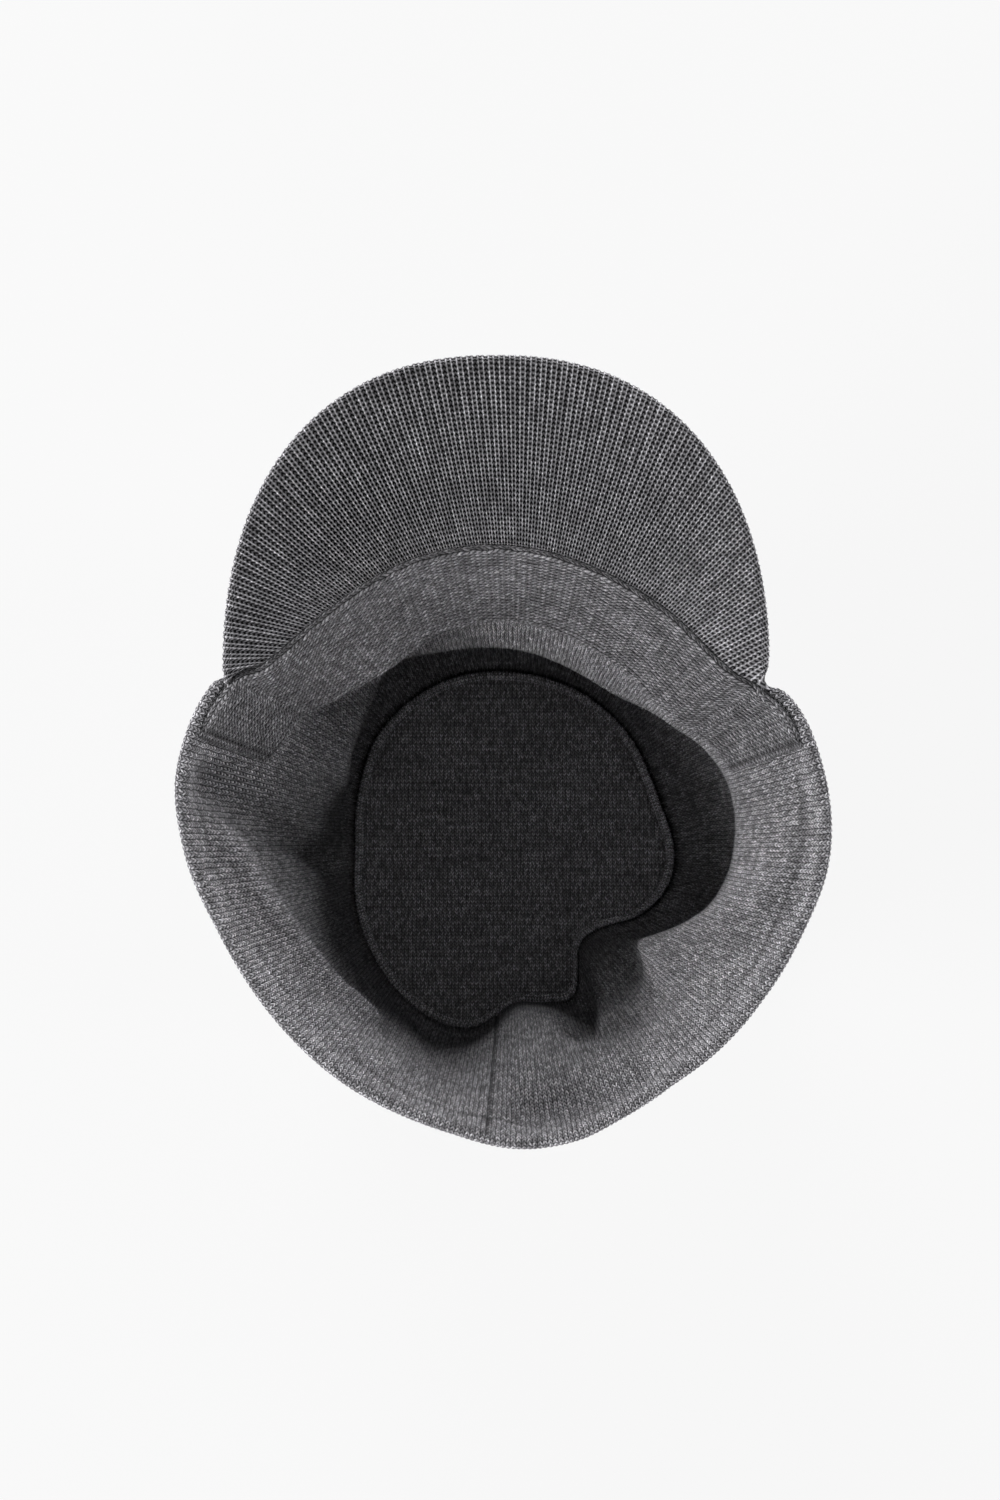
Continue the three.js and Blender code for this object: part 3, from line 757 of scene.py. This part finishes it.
def make_seam():
    bearing = np.arange(SEAM_COLUMNS) * 360 / SEAM_COLUMNS
    turn = -2 * np.pi * np.arange(SEAM_SIDES) / SEAM_SIDES
    phase = SEAM_STITCHES * bearing[:, None] / 360 + turn[None] / (2 * np.pi)
    radius = SEAM_WIDTH / 2 * (1 - SEAM_NICK * (1 - wale_height(phase)))
    middle = crown_radius(bearing) - SEAM_WIDTH / 2 + SEAM_SHIFT
    height = crown_lift(bearing) + KNIT_THICKNESS + SEAM_WIDTH / 2
    points = polar_points(
        bearing[:, None],
        middle[:, None] + radius * np.cos(turn),
        height[:, None] + radius * np.sin(turn),
    )
    stitches = np.stack(np.meshgrid(
        np.arange(SEAM_COLUMNS + 1) * SEAM_STITCHES / SEAM_COLUMNS,
        np.arange(SEAM_SIDES + 1) * SEAM_COURSES / SEAM_SIDES, indexing="ij"), axis=-1)
    return grid_piece(
        "seam_knit", points, stitches, MATERIALS["seam"], ["crown_seam"], ring=(True, True))


# Band

BAND_COLUMNS = 460
BAND_ROW_SAMPLES = 4
BAND_REAR_STEPS = 12
BAND_EDGE_SIDES = 6
BAND_EDGE_STEP = 0.5       # cloth between two points round its edges
BAND_RELIEF = 0.4
BAND_LIP_STEPS = 5
BAND_LIP_TIP = 0.6         # the lip's tip from the rim's middle line, outwards
BAND_LIP_CREST = -1.2      # and its crest
BAND_LIP_LIFT = 1.5        # height of the tip above the rim's middle line
BAND_CREST_LIFT = 2        # and of the crest
BAND_LIP_SHARE = 0.45      # thickness of the tip, as a share of the band's
BAND_EDGE_INSET = 2.2      # rim that shows outside the band, past the peak
BAND_EDGE_REACH = 0.42     # share of the lip that is left there, drawn onto the rim
BAND_END_FADE = 5          # degrees over which each end thins to a flat hem
BAND_END_SHARE = 0.35      # thickness of that hem, as a share of the band's
# The line of stitches at each end of the band is painted darker, as painted shade.
BAND_END_SEAM_AT = 1.6     # degrees from each end to its line of stitches
BAND_END_SEAM_LINE = 0.35
# The welt's line inside the rolled edge is painted darker, as painted shade.
BAND_WELT_LINE = 0.35      # width of the dark line inside the rolled edge
BAND_WELT_SHADE = 0.7
# How far the band's free edge stands off the wall, in millimetres, by its bearing.
BAND_FLARES = [(-69, 0), (-60, 1), (-48, 5), (-32, 6.5), (-16, 3.5), (0, 1.5), (25, 1.2), (45, 1.2), (69, 0)]


def band_lip(bearing, first):
    """Middle line of the lip, from its tip over the rim in to the first point of the band."""
    reach = np.maximum(under_peak(bearing), BAND_EDGE_REACH)[:, None]
    rim = rim_radius(bearing)
    tip = np.stack([rim + BAND_LIP_TIP, np.full_like(rim, RIM_HEIGHT + BAND_LIP_LIFT)], axis=-1)
    crest = np.stack([rim + BAND_LIP_CREST, np.full_like(rim, RIM_HEIGHT + BAND_CREST_LIFT)], axis=-1)
    target = first + (tip - first) * reach
    control = first + (crest - first) * reach
    lip = []
    for t in np.arange(BAND_LIP_STEPS) / BAND_LIP_STEPS:
        lip.append(target * (1 - t) ** 2 + control * 2 * t * (1 - t) + first * t * t)
    return np.stack(lip, axis=1)


def band_middle(bearing, end_fade):
    """Middle line of the band at each bearing, from the lip in the peak's seam to the free edge,
    and half its thickness there."""
    paths, rights = wall_paths(bearing)
    places = row_distances(paths)
    start = BAND_EDGE_INSET * (1 - under_peak(bearing))
    rows = int(BAND_WIDTH / BAND_ROW) * BAND_ROW_SAMPLES
    share = np.linspace(0, 1, rows + 1)
    along = start[:, None] + BAND_WIDTH * share
    middle = at_distances(places, paths, along)
    right = at_distances(places, rights, along)
    right /= np.linalg.norm(right, axis=2, keepdims=True)
    flare = np.interp(bearing, *zip(*BAND_FLARES))[:, None] * share ** 2
    half = BAND_THICKNESS / 2 * mix(BAND_END_SHARE, 1, end_fade)[:, None]
    clear = wall_half(bearing[:, None], along) + BAND_GAP * end_fade[:, None] + half + flare
    middle = middle + right * clear[..., None]
    thinned = mix(BAND_LIP_SHARE, 1, np.arange(BAND_LIP_STEPS) / BAND_LIP_STEPS)
    half = half * np.concatenate([thinned, np.ones(middle.shape[1])])
    return np.concatenate([band_lip(bearing, middle[:, 0]), middle], axis=1), half


def band_shade(bearing, distance):
    """Painted shade along the band's stitched lines: along its welt and across its two ends."""
    welt = BAND_WELT_SHADE * bell(distance - BAND_WELT, BAND_WELT_LINE) * under_peak(bearing)[:, None]
    half_span = (bearing[-1] - bearing[0]) / 2
    from_seam = np.abs(bearing - bearing.mean()) - half_span + BAND_END_SEAM_AT
    return np.clip(welt + bell(from_seam, BAND_END_SEAM_LINE)[:, None], 0, 1)


def make_band():
    bearing = np.linspace(BAND_LEFT_END - 360, BAND_RIGHT_END, BAND_COLUMNS)
    end_fade = smooth_step((bearing - bearing[0]) / BAND_END_FADE)
    end_fade = end_fade * smooth_step((bearing[-1] - bearing) / BAND_END_FADE)
    middle, half = band_middle(bearing, end_fade)
    facing = path_right(middle)
    distance = row_distances(middle)
    relief = BAND_RELIEF * (1 - wale_height(distance / BAND_ROW)) * end_fade[:, None]
    front = middle + facing * (half - relief)[..., None]
    rear_rows = np.linspace(0, middle.shape[1] - 1, BAND_REAR_STEPS + 1).astype(int)
    rear = (middle - facing * half[..., None])[:, rear_rows]
    top = round_end(middle[:, 0], facing[:, 0], half[:, :1], 1, -1, BAND_EDGE_SIDES)
    bottom = round_end(middle[:, -1], facing[:, -1], half[:, -1:], 1, 1, BAND_EDGE_SIDES)
    outline = np.concatenate([front[:, ::-1], top, rear, bottom[:, ::-1]], axis=1)
    points = polar_points(bearing[:, None], outline[..., 0], outline[..., 1])
    edge_cloth = BAND_EDGE_SIDES * BAND_EDGE_STEP
    edge_place = np.arange(1, BAND_EDGE_SIDES + 1) * BAND_EDGE_STEP
    across = np.concatenate([
        distance[:, ::-1],
        np.repeat(-edge_place[None, :-1], BAND_COLUMNS, 0),
        -edge_cloth - distance[:, rear_rows],
        -edge_cloth - distance[:, -1:] - edge_place[None],
    ], axis=1) / BAND_ROW
    length = np.concatenate([[0], np.cumsum(np.linalg.norm(np.diff(points[:, 0], axis=0), axis=1))])
    stitches = np.stack([across, np.repeat(length[:, None] / BAND_STITCH, across.shape[1], 1)], axis=-1)
    shade = np.zeros(outline.shape[:2])
    shade[:, :distance.shape[1]] = band_shade(bearing, distance)[:, ::-1]
    return grid_piece(
        "band_knit", points, stitches, MATERIALS["band"], ["front_band"],
        ring=(False, True), caps=((0, -1), (-1, 1)), shade=shade)


# Peak

PEAK_CORNER_REACH = 2.2    # degrees by which its right corner laps further over the rim
PEAK_DIP = 0.1             # how far its sewn edge is drawn down into the seam
PEAK_DIP_REACH = 4
PEAK_CURVE_STEPS = 1200
PEAK_TOP_STEPS = 60
PEAK_LOW_STEPS = 16
PEAK_EDGE_SIDES = 8
PEAK_EDGE_CLOTH = 6.4      # cloth that goes round its free edge
PEAK_SEAM_STEP = 0.5       # cloth between two points round its sewn edge
RIB_FADE = 6               # the ribs are lower where the peak is narrower than this
RIB_LEG_WIDTH = 0.11       # of one leg of yarn, in ribs
RIB_MIDDLE_HEIGHT = 0.4    # height between the two legs of a rib, as a share of theirs
LOW_RIB_SHARE = 0.6        # depth of the ribs on the hidden face, as a share
EDGE_RIB_SHARE = 0.8       # round the free edge
SEAM_RIB_SHARE = 0.3       # and round the sewn edge


def peak_shape(x, y):
    """Height of the peak over a place: it rises forwards and curls up to both sides."""
    across = (x - PEAK_OFFSET) / (PEAK_WIDTH / 2)
    front = rim_radius(np.array([0.0]))[0]
    return PEAK_RISE * (y - front) / PEAK_REACH + PEAK_ARCH * across * across


def peak_seam_curve(shares):
    """The sewn edge, from the left corner to the right one."""
    at = mix(PEAK_LEFT_CORNER - 360, PEAK_RIGHT_CORNER + PEAK_CORNER_REACH, shares)
    return polar_points(at, rim_radius(at) + GAP * 2, np.zeros_like(shares))[:, :2]


def peak_edge_curve(shares):
    """The free edge, half of a full oval, from the left corner to the right one."""
    angle = np.pi * shares
    cosine, sine = np.cos(angle), np.sin(angle)
    half_width = (PEAK_WIDTH - PEAK_THICKNESS) / 2
    depth = PEAK_DEPTH - PEAK_THICKNESS / 2
    front = rim_radius(np.array([0.0]))[0] + PEAK_REACH - PEAK_THICKNESS / 2
    return np.stack([
        PEAK_OFFSET - half_width * np.sign(cosine) * np.abs(cosine) ** (2 / PEAK_FULLNESS),
        front - depth * (1 - np.abs(sine) ** (2 / PEAK_FULLNESS)),
    ], axis=-1)


def evenly_along(points, shares):
    """Points at the given shares of a curve's length."""
    length = np.concatenate([[0], np.cumsum(np.linalg.norm(np.diff(points, axis=0), axis=1))])
    place = shares * length[-1]
    return np.stack([np.interp(place, length, points[:, axis]) for axis in range(2)], axis=-1)


def rib_places(share):
    """Where the ribs meet the seam, as shares of its length. They are wider at both corners."""
    spread = (1 - 2 * RIB_SPREAD) * share + RIB_SPREAD * (1 - np.exp(-share / RIB_SPREAD_REACH))
    spread = spread + RIB_SPREAD * np.exp(-(1 - share) / RIB_SPREAD_REACH)
    return (spread - spread[0]) / (spread[-1] - spread[0])


def rib_height(count_place, share_across):
    """Height of the peak's ribs, 0 in the channel between two of them."""
    from_middle = np.abs(count_place % 1 - 0.5)
    split = mix(RIB_SPLIT_LEFT, RIB_SPLIT_RIGHT, share_across)
    legs = bell(from_middle - split, RIB_LEG_WIDTH)
    return np.maximum(legs, RIB_MIDDLE_HEIGHT * (from_middle < split))


def peak_strips(seam, run, length, steps):
    """Middle lines along the ribs from the seam to the free edge, as [distance, height], with
    their directions to the right and half the peak's thickness."""
    part = np.linspace(0, 1, steps + 1)
    place = seam[:, None] + run[:, None] * part[None, :, None]
    rise = peak_shape(place[..., 0], place[..., 1])
    rise = rise - (1 - part) * peak_shape(seam[:, 0], seam[:, 1])[:, None]
    distance = part * length[:, None]
    rise = rise - PEAK_DIP * (1 - smooth_step(distance / PEAK_DIP_REACH))
    seam_height = RIM_HEIGHT + GAP + PEAK_SEAM_THICKNESS / 2
    path = np.stack([distance, seam_height + rise], axis=-1)
    half = mix(PEAK_SEAM_THICKNESS, PEAK_THICKNESS, smooth_step(distance / PEAK_THINNING)) / 2
    return path, path_right(path), half


def make_peak():
    columns = RIBS * RIB_SAMPLES + 1
    count = np.arange(columns) / RIB_SAMPLES
    share = count / RIBS
    fine = np.linspace(0, 1, PEAK_CURVE_STEPS + 1)
    seam = evenly_along(peak_seam_curve(fine), rib_places(share))
    run = evenly_along(peak_edge_curve(fine), share) - seam
    length = np.linalg.norm(run, axis=1)
    rib = RIB_RELIEF * (1 - rib_height(count, share))[:, None]
    rib = rib * smooth_step(length / RIB_FADE)[:, None]
    path, right, half = peak_strips(seam, run, length, PEAK_TOP_STEPS)
    low_path, low_right, low_half = peak_strips(seam, run, length, PEAK_LOW_STEPS)
    top = path - right * (half - rib)[..., None]
    low = low_path + low_right * (low_half - rib * LOW_RIB_SHARE)[..., None]
    edge_half = half[:, -1:] - rib * EDGE_RIB_SHARE
    seam_half = half[:, :1] - rib * SEAM_RIB_SHARE
    outer = round_end(path[:, -1], right[:, -1], edge_half, -1, 1, PEAK_EDGE_SIDES)
    inner = round_end(path[:, 0], right[:, 0], seam_half, -1, -1, PEAK_EDGE_SIDES)
    outline = np.concatenate([top, outer, low[:, ::-1], inner[:, ::-1]], axis=1)
    plan = seam[:, None] + (run / length[:, None])[:, None] * outline[..., :1]
    points = np.concatenate([plan, outline[..., 1:]], axis=-1)
    both_faces = 2 * length[:, None] + PEAK_EDGE_CLOTH
    course = np.concatenate([
        path[..., 0],
        length[:, None] + np.arange(1, PEAK_EDGE_SIDES) * PEAK_EDGE_CLOTH / PEAK_EDGE_SIDES,
        both_faces - low_path[:, ::-1, 0],
        both_faces + np.arange(1, PEAK_EDGE_SIDES + 1) * PEAK_SEAM_STEP,
    ], axis=1) / RIB_STITCH
    stitches = np.stack([np.repeat(count[:, None], course.shape[1], 1), course], axis=-1)
    return grid_piece(
        "peak_rib", points[:, ::-1], stitches[:, ::-1], MATERIALS["peak"], ["peak"],
        ring=(False, True), caps=((0, -1), (-1, 1)))


# Floor, camera and light

FLOOR_SIZE = 8             # metres
FLOOR_TONE = 0.05
FLOOR_ROUGHNESS = 0.9
FLOOR_GLOW = 0.876         # light of its own, which keeps the floor pale all over


def make_floor():
    bpy.ops.mesh.primitive_plane_add(size=FLOOR_SIZE)
    floor = bpy.context.object
    floor.name = "floor"
    shader = Shader("floor_paint")
    shader.surface.inputs["Base Color"].default_value = (FLOOR_TONE, FLOOR_TONE, FLOOR_TONE, 1)
    shader.surface.inputs["Roughness"].default_value = FLOOR_ROUGHNESS
    shader.surface.inputs["Emission Color"].default_value = (1, 1, 1, 1)
    shader.surface.inputs["Emission Strength"].default_value = FLOOR_GLOW
    floor.data.materials.append(shader.material)


CAMERA_DISTANCE = 1100     # from the rim, straight up
CAMERA_PLACE = (-4.1, 33, RIM_HEIGHT + CAMERA_DISTANCE)
IMAGE_HEIGHT = 1500        # pixels
PIXELS_PER_MM = 3.3        # at the rim's height
SENSOR = 36


def make_camera():
    data = bpy.data.cameras.new("camera")
    camera = bpy.data.objects.new("camera", data)
    bpy.context.scene.collection.objects.link(camera)
    camera.location = Vector(CAMERA_PLACE) * MM
    data.sensor_fit = "VERTICAL"
    data.sensor_height = SENSOR
    data.lens = SENSOR * CAMERA_DISTANCE / (IMAGE_HEIGHT / PIXELS_PER_MM)
    bpy.context.scene.camera = camera


# Soft boxes: name, azimuth clockwise from +Y and elevation in degrees, distance and size in
# metres, and power in watts.
LIGHTS = [
    ("key", 250, 18, 1.8, 0.7, 40),
    ("front", 345, 14, 1.8, 0.7, 30),
    ("front right", 45, 12, 1.8, 0.5, 12),
    ("right", 100, 13, 1.8, 0.5, 17),
    ("back", 180, 9, 1.8, 0.5, 17),
    ("overhead", 0, 88, 2.5, 2.0, 5),
]
LIGHT_TARGET = Vector((0, 0, 0.05))
WORLD_STRENGTH = 0.01


def make_lights():
    for name, azimuth, elevation, distance, size, power in LIGHTS:
        data = bpy.data.lights.new(name, "AREA")
        data.size = size
        data.energy = power
        lamp = bpy.data.objects.new(name, data)
        bpy.context.scene.collection.objects.link(lamp)
        side, up = math.radians(azimuth), math.radians(elevation)
        lamp.location = distance * Vector(
            (math.cos(up) * math.sin(side), math.cos(up) * math.cos(side), math.sin(up)))
        lamp.rotation_euler = (LIGHT_TARGET - lamp.location).to_track_quat("-Z", "Y").to_euler()
    world = bpy.data.worlds.new("studio")
    bpy.context.scene.world = world
    world.use_nodes = True
    world.node_tree.nodes["Background"].inputs["Color"].default_value = (1, 1, 1, 1)
    world.node_tree.nodes["Background"].inputs["Strength"].default_value = WORLD_STRENGTH


# The crown's grey is painted lighter than the wall's, as painted light in the deep hollow, and the seam's
# twice as light, as a painted highlight along its ridge.
MATERIALS = {
    "wall": stockinette("wall_knit", 0.25),
    "crown": stockinette("crown_knit", 0.3, contrast=1.75, streak_length=28),
    "seam": stockinette("seam_knit", 0.5),
    "band": stockinette("band_knit", 0.19),
    "peak": rib_knit("peak_rib", 0.22),
}

make_wall()
make_crown()
make_seam()
make_band()
make_peak()
make_floor()
make_camera()
make_lights()
bpy.context.scene.view_settings.view_transform = "Standard"
